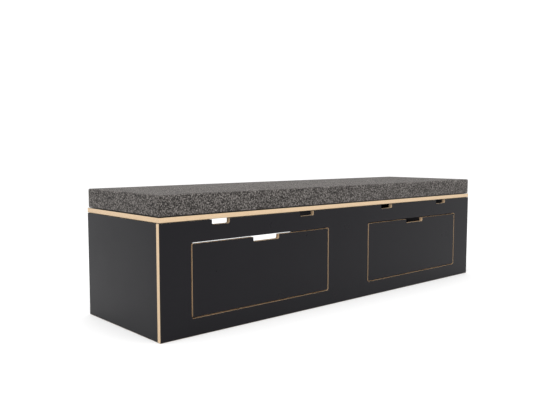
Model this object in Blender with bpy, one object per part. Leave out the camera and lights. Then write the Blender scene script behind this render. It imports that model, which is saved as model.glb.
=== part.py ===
"""A low wooden toy box: a plywood carcass with two drawers in its front, and a lid on three hinges that
carries a long seat cushion. Lengths are in metres, +X is right, -Y is the front and +Z is up. The origin is
on the floor, under the middle of the box and its hinges."""

import math

import bmesh
import bpy
from mathutils import Vector

# Overall sizes of the box.
LENGTH = 1.560
DEPTH = 0.430
LID_TOP = 0.350
BOARD = 0.015

# Clearances.
FIT = 0.0003
LID_GAP = 0.0015
GLIDE_PROUD = 0.0015

# Openings of the front panel, and the finger notches along its top edge.
OPENING_WIDTH = 0.570
OPENING_HEIGHT = 0.220
OPENING_SILL = 0.052
OPENING_RADIUS = 0.008
LID_NOTCH_WIDTH = 0.065
LID_NOTCH_DEPTH = 0.015
LID_NOTCH_OFFSET = 0.1785
NOTCH_RADIUS = 0.005
NOTCH_LIP_RADIUS = 0.0015

# The carcass behind the front panel.
BOTTOM_HEIGHT = 0.025
CARRIER_HEIGHT = 0.130
WINDOW_END = 0.175
WINDOW_SILL = 0.165
WINDOW_HEIGHT = 0.120
WINDOW_RADIUS = 0.020
DIVIDER_NOTCH_DEPTH = 0.120
GLIDE_RADIUS = 0.006
GLIDE_INSET = 0.060

# The drawers.
FRONT_GAP = 0.004
DRAWER_RADIUS = 0.004
DRAWER_NOTCH_WIDTH = 0.107
DRAWER_NOTCH_DEPTH = 0.014
DRAWER_WALL = 0.012
DRAWER_WALL_HEIGHT = 0.108
DRAWER_WALL_LIFT = 0.006
DRAWER_DEPTH = 0.360
DRAWER_BOTTOM = 0.006
DRAWER_BOTTOM_LIFT = 0.010
GROOVE_DEPTH = 0.006

# The telescopic slides, three nested channels each.
SLIDE_LENGTH = 0.350
SLIDE_SPACE = 0.013
SLIDE_WALL = 0.0012
SLIDE_LIFT = 0.038
OUTER_RAIL = (0.0000, 0.0102, 0.0225)
MIDDLE_RAIL = (0.0027, 0.0107, 0.0180)
INNER_RAIL = (0.0124, 0.0052, 0.0135)

# The hinges.
HINGE_SPREAD = 0.600
HINGE_WIDTH = 0.070
HINGE_LEAF = 0.0015
HINGE_REACH = 0.030
KNUCKLE_RADIUS = 0.004
KNUCKLE_SHARE = 1 / 3
PIN_RADIUS = 0.0018
PIN_CLEARANCE = 0.0004
BUMPER_RADIUS = 0.005

# The cushion, its zip and the tape that holds it on the lid.
CUSHION_TOP = 0.410
CUSHION_INSET = 0.0035
CUSHION_EDGE = 0.005
FABRIC = 0.001
TAPE = 0.0008
TAPE_WIDTH = 0.050
TAPE_INSET = 0.040
ZIP_LENGTH = 1.200
ZIP_WIDTH = 0.006
ZIP_SLIDER = (0.009, 0.0026, 0.007)
ZIP_PULLER = (0.004, 0.0012, 0.022)

# Places that follow from the sizes above.
HINGE_PROUD = FIT + 2 * KNUCKLE_RADIUS
FRONT = -(DEPTH + HINGE_PROUD) / 2
BACK = FRONT + DEPTH
REAR_OF_FRONT = FRONT + BOARD
INSIDE_BACK = BACK - BOARD
LID_UNDERSIDE = LID_TOP - BOARD
PANEL_TOP = LID_UNDERSIDE - LID_GAP
SIDE_INSIDE = LENGTH / 2 - BOARD
BAY_CENTRE = LENGTH / 4
BOTTOM_TOP = BOTTOM_HEIGHT + BOARD
CARRIER_TOP = BOTTOM_TOP + FIT + CARRIER_HEIGHT
OPENING_TOP = OPENING_SILL + OPENING_HEIGHT
DRAWER_SILL = OPENING_SILL + FRONT_GAP
DRAWER_TOP = OPENING_TOP - FRONT_GAP
DRAWER_HALF_FRONT = OPENING_WIDTH / 2 - FRONT_GAP
DRAWER_HALF_BOX = OPENING_WIDTH / 2 - SLIDE_SPACE
WALL_FRONT = REAR_OF_FRONT + FIT
WALL_BACK = REAR_OF_FRONT + DRAWER_DEPTH
WALL_SILL = DRAWER_SILL + DRAWER_WALL_LIFT
WALL_TOP = WALL_SILL + DRAWER_WALL_HEIGHT
TRAY_SILL = WALL_SILL + DRAWER_BOTTOM_LIFT
SLIDE_CENTRE = WALL_SILL + SLIDE_LIFT
LEAF_TOP = LID_UNDERSIDE - FIT
HINGE_Y = BACK + FIT + KNUCKLE_RADIUS
HINGE_Z = LEAF_TOP - KNUCKLE_RADIUS
HOOK_SILL = LID_TOP + FIT
LOOP_SILL = HOOK_SILL + TAPE + FIT
COVER_SILL = LOOP_SILL + TAPE + FIT
CUSHION_HALF = LENGTH / 2 - CUSHION_INSET
CUSHION_FRONT = FRONT + CUSHION_INSET
CUSHION_BACK = BACK - CUSHION_INSET
ZIP_MIDDLE = (COVER_SILL + CUSHION_TOP) / 2

SIDES = (("left", -1), ("right", 1))
ARC_STEPS = 4
ROUND_SIDES = 16


def clear_scene():
    for obj in list(bpy.data.objects):
        bpy.data.objects.remove(obj, do_unlink=True)


def principled(name, colour, roughness, metallic=0.0):
    look = bpy.data.materials.new(name)
    look.use_nodes = True
    shader = look.node_tree.nodes["Principled BSDF"]
    shader.inputs["Base Color"].default_value = (*colour, 1.0)
    shader.inputs["Roughness"].default_value = roughness
    shader.inputs["Metallic"].default_value = metallic
    look.diffuse_color = (*colour, 1.0)
    return look


def make_looks():
    return {
        "laminate": principled("black_laminate", (0.022, 0.022, 0.024), 0.45),
        "birch": principled("birch_plywood", (0.72, 0.55, 0.36), 0.55),
        "steel": principled("zinc_plated_steel", (0.62, 0.63, 0.65), 0.3, 1.0),
        "rubber": principled("bumper_rubber", (0.05, 0.05, 0.05), 0.8),
        "glide": principled("glide_plastic", (0.12, 0.12, 0.12), 0.6),
        "fabric": principled("tweed_fabric", (0.16, 0.15, 0.14), 0.95),
        "foam": principled("seat_foam", (0.85, 0.82, 0.70), 0.95),
        "tape": principled("hook_and_loop", (0.03, 0.03, 0.03), 0.9),
        "zip": principled("zip_tape", (0.04, 0.04, 0.04), 0.6),
    }


def marker(name, at, parent=None):
    """An empty on the axis of a moving body."""
    empty = bpy.data.objects.new(name, None)
    empty.empty_display_size = 0.05
    bpy.context.scene.collection.objects.link(empty)
    attach(empty, Vector(at), parent)
    return empty


def world_place(obj):
    place = obj.location.copy()
    while obj.parent:
        obj = obj.parent
        place += obj.location
    return place


def attach(obj, at, parent):
    obj.parent = parent
    obj.location = at - world_place(parent) if parent else at


def solid(name, bm, at, look, parent=None):
    """An object from a bmesh built around its own origin. Without a look it is a cutter."""
    bmesh.ops.recalc_face_normals(bm, faces=bm.faces)
    mesh = bpy.data.meshes.new(name)
    bm.to_mesh(mesh)
    bm.free()
    obj = bpy.data.objects.new(name, mesh)
    bpy.context.scene.collection.objects.link(obj)
    attach(obj, Vector(at), parent)
    if look:
        mesh.materials.append(look)
    else:
        obj.hide_render = True
        obj.display_type = "WIRE"
    return obj


def block(name, low, high, look=None, parent=None):
    """A box between two corners."""
    low, high = Vector(low), Vector(high)
    bm = bmesh.new()
    bmesh.ops.create_cube(bm, size=1.0)
    bmesh.ops.scale(bm, vec=high - low, verts=bm.verts)
    return solid(name, bm, (low + high) / 2, look, parent)


def prism(name, outline, axis, low, high, look=None, parent=None):
    """A flat outline carried along one axis. The outline is in the other two axes, in X, Y, Z order."""
    across = [i for i in range(3) if i != axis]
    middle = Vector((0, 0, 0))
    middle[axis] = (low + high) / 2
    for i, centre in zip(across, outline_middle(outline)):
        middle[i] = centre
    bm = bmesh.new()
    corners = []
    for point in outline:
        corner = Vector((0, 0, 0))
        corner[axis] = low
        corner[across[0]], corner[across[1]] = point
        corners.append(bm.verts.new(corner - middle))
    face = bm.faces.new(corners)
    moved = bmesh.ops.extrude_face_region(bm, geom=[face])["geom"]
    reach = Vector((0, 0, 0))
    reach[axis] = high - low
    verts = [item for item in moved if isinstance(item, bmesh.types.BMVert)]
    bmesh.ops.translate(bm, vec=reach, verts=verts)
    return solid(name, bm, middle, look, parent)


def outline_middle(outline):
    return [(min(values) + max(values)) / 2 for values in zip(*outline)]


def rod(name, centre, radius, length, axis, look=None, parent=None):
    """A cylinder about a point, along X, Y or Z."""
    bm = bmesh.new()
    bmesh.ops.create_cone(
        bm, cap_ends=True, segments=ROUND_SIDES, radius1=radius, radius2=radius, depth=length
    )
    turn = Vector((0, 0, 1)).rotation_difference(Vector([i == axis for i in range(3)]))
    bmesh.ops.rotate(bm, matrix=turn.to_matrix(), verts=bm.verts)
    obj = solid(name, bm, centre, look, parent)
    obj.data.shade_smooth()
    obj.data.set_sharp_from_angle(angle=math.radians(40))
    return obj


def cut(obj, cutter, operation="DIFFERENCE"):
    modifier = obj.modifiers.new(cutter.name, "BOOLEAN")
    modifier.operation = operation
    modifier.solver = "EXACT"
    modifier.object = cutter


def soften(obj, width, segments=2):
    modifier = obj.modifiers.new("edges", "BEVEL")
    modifier.width = width
    modifier.segments = segments
    modifier.limit_method = "ANGLE"


def arc(centre, radius, start, end):
    """Points along a circle, from one angle to another in degrees."""
    angles = [start + (end - start) * i / ARC_STEPS for i in range(ARC_STEPS + 1)]
    return [
        (centre[0] + radius * math.cos(math.radians(a)), centre[1] + radius * math.sin(math.radians(a)))
        for a in angles
    ]


def rounded_outline(low, high, radius):
    """A rectangle with round corners, counter-clockwise from its lower left corner."""
    return (
        arc((low[0] + radius, low[1] + radius), radius, 180, 270)
        + arc((high[0] - radius, low[1] + radius), radius, 270, 360)
        + arc((high[0] - radius, high[1] - radius), radius, 0, 90)
        + arc((low[0] + radius, high[1] - radius), radius, 90, 180)
    )


def notch_outline(centre, width, top, depth):
    """A notch in a top edge, from right to left: each end is a small convex arc over a concave one."""
    left, right = centre - width / 2, centre + width / 2
    floor = top - depth
    radius, lip = NOTCH_RADIUS, NOTCH_LIP_RADIUS
    return (
        arc((right + lip, top - lip), lip, 90, 180)
        + arc((right - radius, floor + radius), radius, 0, -90)
        + arc((left + radius, floor + radius), radius, -90, -180)
        + arc((left - lip, top - lip), lip, 0, 90)
    )


def make_front_panel(looks):
    """The full-width front board, with its lid notches and the two drawer openings."""
    outline = [(-LENGTH / 2, GLIDE_PROUD), (LENGTH / 2, GLIDE_PROUD), (LENGTH / 2, PANEL_TOP)]
    for bay in (1, -1):
        for side in (1, -1):
            centre = bay * BAY_CENTRE + side * LID_NOTCH_OFFSET
            outline += notch_outline(centre, LID_NOTCH_WIDTH, PANEL_TOP, LID_NOTCH_DEPTH)
    outline.append((-LENGTH / 2, PANEL_TOP))
    panel = prism("front_panel", outline, 1, FRONT, REAR_OF_FRONT, looks["laminate"])
    for side, sign in SIDES:
        centre = sign * BAY_CENTRE
        opening = rounded_outline(
            (centre - OPENING_WIDTH / 2, OPENING_SILL),
            (centre + OPENING_WIDTH / 2, OPENING_TOP),
            OPENING_RADIUS,
        )
        cutter = prism(f"cutter_{side}_opening", opening, 1, FRONT - BOARD, REAR_OF_FRONT + BOARD)
        cut(panel, cutter)


def make_side_panels(looks):
    for side, sign in SIDES:
        inner, outer = sorted((sign * SIDE_INSIDE, sign * LENGTH / 2))
        block(
            f"{side}_side_panel",
            (inner, REAR_OF_FRONT + FIT, GLIDE_PROUD),
            (outer, BACK, PANEL_TOP),
            looks["laminate"],
        )


def make_rebates():
    """Cutters for the shallow rebates that the lid's hinge leaves lie in."""
    reach = HINGE_WIDTH / 2 + FIT
    return [
        block(
            f"cutter_{name}_rebate",
            (centre - reach, HINGE_Y - HINGE_REACH - FIT, LEAF_TOP - HINGE_LEAF - FIT),
            (centre + reach, HINGE_Y, LID_UNDERSIDE),
        )
        for name, centre in hinge_places()
    ]


def make_back_panel(looks, rebates):
    """The back board between the side panels, with its long window."""
    half = SIDE_INSIDE - FIT
    panel = block(
        "back_panel", (-half, INSIDE_BACK, GLIDE_PROUD), (half, BACK, PANEL_TOP), looks["laminate"]
    )
    end = LENGTH / 2 - WINDOW_END
    window = rounded_outline((-end, WINDOW_SILL), (end, WINDOW_SILL + WINDOW_HEIGHT), WINDOW_RADIUS)
    cut(panel, prism("cutter_window", window, 1, INSIDE_BACK - BOARD, BACK + BOARD))
    for rebate in rebates:
        cut(panel, rebate)


def make_divider(looks, rebates):
    """The upright board between the bays, notched at its rear behind the window."""
    divider = block(
        "centre_divider",
        (-BOARD / 2, REAR_OF_FRONT + FIT, GLIDE_PROUD),
        (BOARD / 2, INSIDE_BACK - FIT, PANEL_TOP),
        looks["laminate"],
    )
    notch = rounded_outline(
        (INSIDE_BACK - DIVIDER_NOTCH_DEPTH, WINDOW_SILL),
        (BACK + DIVIDER_NOTCH_DEPTH, WINDOW_SILL + WINDOW_HEIGHT),
        WINDOW_RADIUS,
    )
    cut(divider, prism("cutter_divider_notch", notch, 0, -BOARD, BOARD))
    for rebate in rebates:
        cut(divider, rebate)


def make_bays(looks):
    """Under each drawer a bottom board, and beside it the two boards that carry its slides."""
    front, back = REAR_OF_FRONT + FIT, INSIDE_BACK - FIT
    for bay, sign in SIDES:
        near, far = sorted((sign * (BOARD / 2 + FIT), sign * (SIDE_INSIDE - FIT)))
        block(
            f"{bay}_bottom_panel", (near, front, BOTTOM_HEIGHT), (far, back, BOTTOM_TOP), looks["birch"]
        )
        for side, out in SIDES:
            face = sign * BAY_CENTRE + out * OPENING_WIDTH / 2
            low, high = sorted((face, face + out * BOARD))
            block(
                f"{bay}_bay_{side}_slide_carrier",
                (low, front, BOTTOM_TOP + FIT),
                (high, back, CARRIER_TOP),
                looks["birch"],
            )


def make_glides(looks):
    """Round glides under both side panels and the divider."""
    lines = (
        ("left", (-LENGTH / 2 - SIDE_INSIDE) / 2),
        ("middle", 0.0),
        ("right", (LENGTH / 2 + SIDE_INSIDE) / 2),
    )
    thickness = GLIDE_PROUD - FIT
    for line, x in lines:
        for end, y in (("front", FRONT + GLIDE_INSET), ("rear", BACK - GLIDE_INSET)):
            place = (x, y, thickness / 2)
            rod(f"{end}_{line}_floor_glide", place, GLIDE_RADIUS, thickness, 2, looks["glide"])


def rail_outline(rail, face, inward):
    """A channel's section. Its web stands at the first size from the carrier's face, its two flanges run to
    the second, and the third is half its height."""
    web, reach, half = rail
    turn = math.copysign(SLIDE_WALL, reach - web)
    shape = (
        (web, -half),
        (reach, -half),
        (reach, -half + SLIDE_WALL),
        (web + turn, -half + SLIDE_WALL),
        (web + turn, half - SLIDE_WALL),
        (reach, half - SLIDE_WALL),
        (reach, half),
        (web, half),
    )
    return [(face + inward * (FIT + along), SLIDE_CENTRE + up) for along, up in shape]


def make_slides(looks, bay, centre, drawer, middle):
    """Both slides of one drawer. The outer rails stay, and the inner rails move with the drawer."""
    for side, out in SIDES:
        face = centre + out * OPENING_WIDTH / 2
        for part, rail, parent in (
            ("outer", OUTER_RAIL, None),
            ("middle", MIDDLE_RAIL, middle),
            ("inner", INNER_RAIL, drawer),
        ):
            outline = rail_outline(rail, face, -out)
            prism(
                f"{bay}_drawer_{side}_slide_{part}_rail",
                outline,
                1,
                WALL_FRONT,
                WALL_FRONT + SLIDE_LENGTH,
                looks["steel"],
                parent,
            )


def make_drawer(looks, bay, sign):
    """One drawer: a front, two sides and a back around a bottom held in their grooves."""
    centre = sign * BAY_CENTRE
    drawer = marker(f"{bay}_drawer_origin", (centre, FRONT, SLIDE_CENTRE))
    middle = marker(f"{bay}_middle_rails_origin", (centre, FRONT, SLIDE_CENTRE))
    tray_half = DRAWER_HALF_BOX - DRAWER_WALL + GROOVE_DEPTH - FIT
    tray_front = REAR_OF_FRONT - GROOVE_DEPTH + FIT
    tray_back = WALL_BACK - DRAWER_WALL + GROOVE_DEPTH - FIT
    tray_top = TRAY_SILL + DRAWER_BOTTOM
    groove = block(
        f"cutter_{bay}_groove",
        (centre - tray_half - FIT, tray_front - FIT, TRAY_SILL - FIT),
        (centre + tray_half + FIT, tray_back + FIT, tray_top + FIT),
        None,
        drawer,
    )

    radius = DRAWER_RADIUS
    left, right = centre - DRAWER_HALF_FRONT, centre + DRAWER_HALF_FRONT
    outline = (
        arc((left + radius, DRAWER_SILL + radius), radius, 180, 270)
        + arc((right - radius, DRAWER_SILL + radius), radius, 270, 360)
        + arc((right - radius, DRAWER_TOP - radius), radius, 0, 90)
        + notch_outline(centre, DRAWER_NOTCH_WIDTH, DRAWER_TOP, DRAWER_NOTCH_DEPTH)
        + arc((left + radius, DRAWER_TOP - radius), radius, 90, 180)
    )
    name = f"{bay}_drawer_front"
    cut(prism(name, outline, 1, FRONT, REAR_OF_FRONT, looks["laminate"], drawer), groove)

    for side, out in SIDES:
        low, high = sorted(
            (centre + out * (DRAWER_HALF_BOX - DRAWER_WALL), centre + out * DRAWER_HALF_BOX)
        )
        name = f"{bay}_drawer_{side}_side"
        wall = block(
            name, (low, WALL_FRONT, WALL_SILL), (high, WALL_BACK, WALL_TOP), looks["birch"], drawer
        )
        cut(wall, groove)

    inner = DRAWER_HALF_BOX - DRAWER_WALL - FIT
    wall = block(
        f"{bay}_drawer_back",
        (centre - inner, WALL_BACK - DRAWER_WALL, WALL_SILL),
        (centre + inner, WALL_BACK, WALL_TOP),
        looks["birch"],
        drawer,
    )
    cut(wall, groove)
    block(
        f"{bay}_drawer_bottom",
        (centre - tray_half, tray_front, TRAY_SILL),
        (centre + tray_half, tray_back, tray_top),
        looks["birch"],
        drawer,
    )
    make_slides(looks, bay, centre, drawer, middle)


def hinge_places():
    return [("left_hinge", -HINGE_SPREAD), ("middle_hinge", 0.0), ("right_hinge", HINGE_SPREAD)]


def leaf_outline(reach, flat):
    """The section of a leaf rolled round the pin: a knuckle with a strip leaving it at a tangent. The strip
    runs forward under the lid when flat is true, and down the back panel when it is not."""
    inner = KNUCKLE_RADIUS - HINGE_LEAF
    meet = math.degrees(math.acos(inner / KNUCKLE_RADIUS))
    turns = [90 - (360 - meet) * i / ROUND_SIDES for i in range(ROUND_SIDES + 1)]
    shape = [(-reach, inner), (-reach, KNUCKLE_RADIUS)]
    for turn in turns:
        a = math.radians(turn)
        shape.append((KNUCKLE_RADIUS * math.cos(a), KNUCKLE_RADIUS * math.sin(a)))
    if flat:
        return [(HINGE_Y + y, HINGE_Z + z) for y, z in shape]
    return [(HINGE_Y - z, HINGE_Z + y) for y, z in shape]


def make_hinge(looks, name, centre, lid):
    """A butt hinge: the box leaf holds the two outer knuckles and the pin, the lid leaf the middle one."""
    half = HINGE_WIDTH / 2
    knuckle = HINGE_WIDTH * KNUCKLE_SHARE / 2
    bore = rod(
        f"cutter_{name}_bore",
        (centre, HINGE_Y, HINGE_Z),
        PIN_RADIUS + PIN_CLEARANCE,
        2 * HINGE_WIDTH,
        0,
    )
    clear = HINGE_PROUD
    box_leaf = prism(
        f"{name}_box_leaf",
        leaf_outline(HINGE_REACH, False),
        0,
        centre - half,
        centre + half,
        looks["steel"],
    )
    window = block(
        f"cutter_{name}_middle",
        (centre - knuckle, BACK - clear, HINGE_Z - KNUCKLE_RADIUS - FIT),
        (centre + knuckle, HINGE_Y + clear, HINGE_Z + clear),
    )
    cut(box_leaf, bore)
    cut(box_leaf, window)

    lid_leaf = prism(
        f"{name}_lid_leaf",
        leaf_outline(HINGE_REACH, True),
        0,
        centre - half,
        centre + half,
        looks["steel"],
        lid,
    )
    cut(lid_leaf, bore)
    for side, out in SIDES:
        low, high = sorted((centre + out * (knuckle - FIT), centre + out * (half + FIT)))
        cutter = block(
            f"cutter_{name}_{side}",
            (low, BACK, HINGE_Z - clear),
            (high, HINGE_Y + clear, HINGE_Z + clear),
            None,
            lid,
        )
        cut(lid_leaf, cutter)
    rod(f"{name}_pin", (centre, HINGE_Y, HINGE_Z), PIN_RADIUS, HINGE_WIDTH, 0, looks["steel"])


def make_lid(looks, lid):
    """The lid board with a bumper near each front corner."""
    half = LENGTH / 2
    block("lid_panel", (-half, FRONT, LID_UNDERSIDE), (half, BACK, LID_TOP), looks["laminate"], lid)
    thickness = LID_GAP - 2 * FIT
    for side, sign in SIDES:
        place = (sign * (half - BOARD / 2), FRONT + BOARD / 2, LID_UNDERSIDE - LID_GAP / 2)
        rod(f"{side}_lid_bumper", place, BUMPER_RADIUS, thickness, 2, looks["rubber"], lid)


def make_cushion(looks, lid):
    """A foam slab in a fabric cover that opens along a zip at the back, held by hook-and-loop tape."""
    low = Vector((-CUSHION_HALF, CUSHION_FRONT, COVER_SILL))
    high = Vector((CUSHION_HALF, CUSHION_BACK, CUSHION_TOP))
    wall = Vector((FABRIC, FABRIC, FABRIC))
    gap = Vector((FIT, FIT, FIT))
    cover = block("cushion_cover", low, high, looks["fabric"], lid)
    soften(cover, CUSHION_EDGE)
    hollow = block("cutter_cover_hollow", low + wall, high - wall, None, lid)
    soften(hollow, CUSHION_EDGE - FABRIC)
    cut(cover, hollow)
    foam = block("cushion_foam", low + wall + gap, high - wall - gap, looks["foam"], lid)
    soften(foam, CUSHION_EDGE - FABRIC)

    half_zip, half_width = ZIP_LENGTH / 2, ZIP_WIDTH / 2
    slot = block(
        "cutter_zip_slot",
        (-half_zip - FIT, CUSHION_BACK - 1.5 * FABRIC, ZIP_MIDDLE - half_width - FIT),
        (half_zip + FIT, CUSHION_BACK + FABRIC, ZIP_MIDDLE + half_width + FIT),
        None,
        lid,
    )
    cut(cover, slot)
    block(
        "zip_teeth",
        (-half_zip, CUSHION_BACK - FABRIC, ZIP_MIDDLE - half_width),
        (half_zip, CUSHION_BACK, ZIP_MIDDLE + half_width),
        looks["zip"],
        lid,
    )

    run = LENGTH / 2 - TAPE_INSET
    for place, y in (("front", FRONT + TAPE_INSET), ("rear", BACK - TAPE_INSET - TAPE_WIDTH)):
        for kind, sill in (("hook", HOOK_SILL), ("loop", LOOP_SILL)):
            block(
                f"{place}_{kind}_tape",
                (-run, y, sill),
                (run, y + TAPE_WIDTH, sill + TAPE),
                looks["tape"],
                lid,
            )


def make_zip_slider(looks, lid):
    """The zip's slider, at the closed end, with its puller hanging from it."""
    width, proud, height = ZIP_SLIDER
    start = Vector((-ZIP_LENGTH / 2 + width / 2, CUSHION_BACK + FIT, ZIP_MIDDLE))
    origin = marker("zip_slider_origin", start, lid)
    body = block(
        "zip_slider",
        start + Vector((-width / 2, 0, -height / 2)),
        start + Vector((width / 2, proud, height / 2)),
        looks["steel"],
        origin,
    )
    tab_width, tab, drop = ZIP_PULLER
    puller = block(
        "cutter_zip_puller",
        start + Vector((-tab_width / 2, proud - tab, -height / 2 - drop + tab)),
        start + Vector((tab_width / 2, proud, 0)),
        None,
        origin,
    )
    cut(body, puller, "UNION")


def main():
    clear_scene()
    looks = make_looks()
    make_front_panel(looks)
    make_side_panels(looks)
    rebates = make_rebates()
    make_back_panel(looks, rebates)
    make_divider(looks, rebates)
    make_bays(looks)
    make_glides(looks)
    for bay, sign in SIDES:
        make_drawer(looks, bay, sign)
    lid = marker("lid_hinge_axis", (0, HINGE_Y, HINGE_Z))
    make_lid(looks, lid)
    for name, centre in hinge_places():
        make_hinge(looks, name, centre, lid)
    make_cushion(looks, lid)
    make_zip_slider(looks, lid)


main()
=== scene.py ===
import math

import bmesh
import bpy
import numpy as np
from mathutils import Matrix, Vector
from mathutils.geometry import tessellate_polygon


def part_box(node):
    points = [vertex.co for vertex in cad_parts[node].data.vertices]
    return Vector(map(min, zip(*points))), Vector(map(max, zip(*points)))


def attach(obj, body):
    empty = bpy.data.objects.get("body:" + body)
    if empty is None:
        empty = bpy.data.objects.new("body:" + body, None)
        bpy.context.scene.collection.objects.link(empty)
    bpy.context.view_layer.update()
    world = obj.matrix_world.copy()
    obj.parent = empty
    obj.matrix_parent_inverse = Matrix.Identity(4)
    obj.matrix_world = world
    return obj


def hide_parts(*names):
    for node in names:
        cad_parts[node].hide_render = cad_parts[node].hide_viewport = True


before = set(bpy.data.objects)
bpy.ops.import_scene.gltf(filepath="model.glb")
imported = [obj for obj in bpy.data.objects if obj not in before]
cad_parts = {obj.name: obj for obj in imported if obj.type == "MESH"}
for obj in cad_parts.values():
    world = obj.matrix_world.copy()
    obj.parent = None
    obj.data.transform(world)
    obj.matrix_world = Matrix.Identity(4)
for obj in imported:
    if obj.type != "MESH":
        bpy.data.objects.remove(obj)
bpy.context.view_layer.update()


# --- Carcass boards ----------------------------------------------
# The box is glued up from 15 mm birch plywood, faced on both sides with black laminate. Its edges are left
# bare, so every cut shows the plies. The arrises are sanded just round enough for a child's hands.

BAYS = (("left", -1), ("right", 1))
FIT = 0.0003
ARRIS = 0.0004
CORNER = 0.0006
FILM = 0.0007
FILM_BLUR = 0.00005
CORNER_STEPS = 7
ARRIS_STEPS = 4
SLIVER = 1e-14


def outline(corners, radii, steps=CORNER_STEPS):
    """A closed outline with each corner P rounded to its radius r. With unit vectors a and b towards the
    two neighbours and the angle 2h between them, the arc's centre is P + r / sin(h) along their bisector,
    and the arc turns between the two tangent points by spherical interpolation."""
    p = np.array(corners, float)
    r = np.broadcast_to(np.array(radii, float), len(p))[:, None]
    a = np.roll(p, 1, 0) - p
    b = np.roll(p, -1, 0) - p
    a /= np.linalg.norm(a, axis=1, keepdims=True)
    b /= np.linalg.norm(b, axis=1, keepdims=True)
    half = np.arccos(np.clip((a * b).sum(1, keepdims=True), -1, 1)) / 2
    middle = a + b
    middle /= np.linalg.norm(middle, axis=1, keepdims=True)
    centre = p + middle * r / np.sin(half)
    start = (p + a * r / np.tan(half) - centre) / r
    end = (p + b * r / np.tan(half) - centre) / r
    turn = (math.pi - 2 * half)[:, :, None]
    s = np.linspace(0, 1, steps)[None, :, None]
    arc = np.sin((1 - s) * turn) * start[:, None] + np.sin(s * turn) * end[:, None]
    return (centre[:, None] + r[:, None] * arc / np.sin(turn)).reshape(-1, 2)


def inset(loop, distances):
    """The loop moved to its left by each distance: every point goes along its mitre, the sum of the two
    edge normals divided by one plus their dot product. Rows are distances, columns are points."""
    edge = np.roll(loop, -1, 0) - loop
    edge /= np.linalg.norm(edge, axis=1, keepdims=True)
    normal = np.stack([-edge[:, 1], edge[:, 0]], 1)
    before = np.roll(normal, 1, 0)
    mitre = (before + normal) / (1 + (before * normal).sum(1, keepdims=True))
    return loop[None] + np.array(distances)[:, None, None] * mitre[None]


def in_scene(name, data):
    """A new object that holds the data, at the origin of the scene."""
    piece = bpy.data.objects.new(name, data)
    bpy.context.scene.collection.objects.link(piece)
    return piece


def mesh_piece(name, points, faces, looks, face_looks=None, uvs=None, smooth=True, sharp=35):
    """A mesh object at the origin. Its faces all turn round if its signed volume, a sixth of the sum of
    the triple products of each face fan's corners, is negative."""
    mesh = bpy.data.meshes.new(name)
    mesh.from_pydata(points, [], faces)
    mesh.validate()
    mesh.calc_loop_triangles()
    tris = np.empty(len(mesh.loop_triangles) * 3, np.int32)
    mesh.loop_triangles.foreach_get("vertices", tris)
    co = np.asarray(points)[tris.reshape(-1, 3)]
    for look in looks:
        mesh.materials.append(look)
    if face_looks is not None:
        mesh.polygons.foreach_set("material_index", np.minimum(face_looks, len(looks) - 1).astype(np.int32))
    if uvs is not None:
        layer = mesh.uv_layers.new(name="cut")
        layer.data.foreach_set("uv", np.asarray(uvs, np.float32).ravel())
    if np.einsum("ij,ij->i", co[:, 0], np.cross(co[:, 1], co[:, 2])).sum() < 0:
        mesh.flip_normals()
    if smooth:
        mesh.shade_smooth()
        mesh.set_sharp_from_angle(angle=math.radians(sharp))
        if face_looks is not None:
            mesh.polygons.foreach_set("use_smooth", np.asarray(face_looks, bool))
    return in_scene(name, mesh)


def ring_faces(rings, n, start=0):
    """The four-sided faces between neighbouring rings of n points, numbered from start."""
    k, j = np.indices((rings - 1, n))
    here = start + k * n + j
    ahead = start + k * n + (j + 1) % n
    return np.stack([here, ahead, ahead + n, here + n], 2).reshape(-1, 4)


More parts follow.
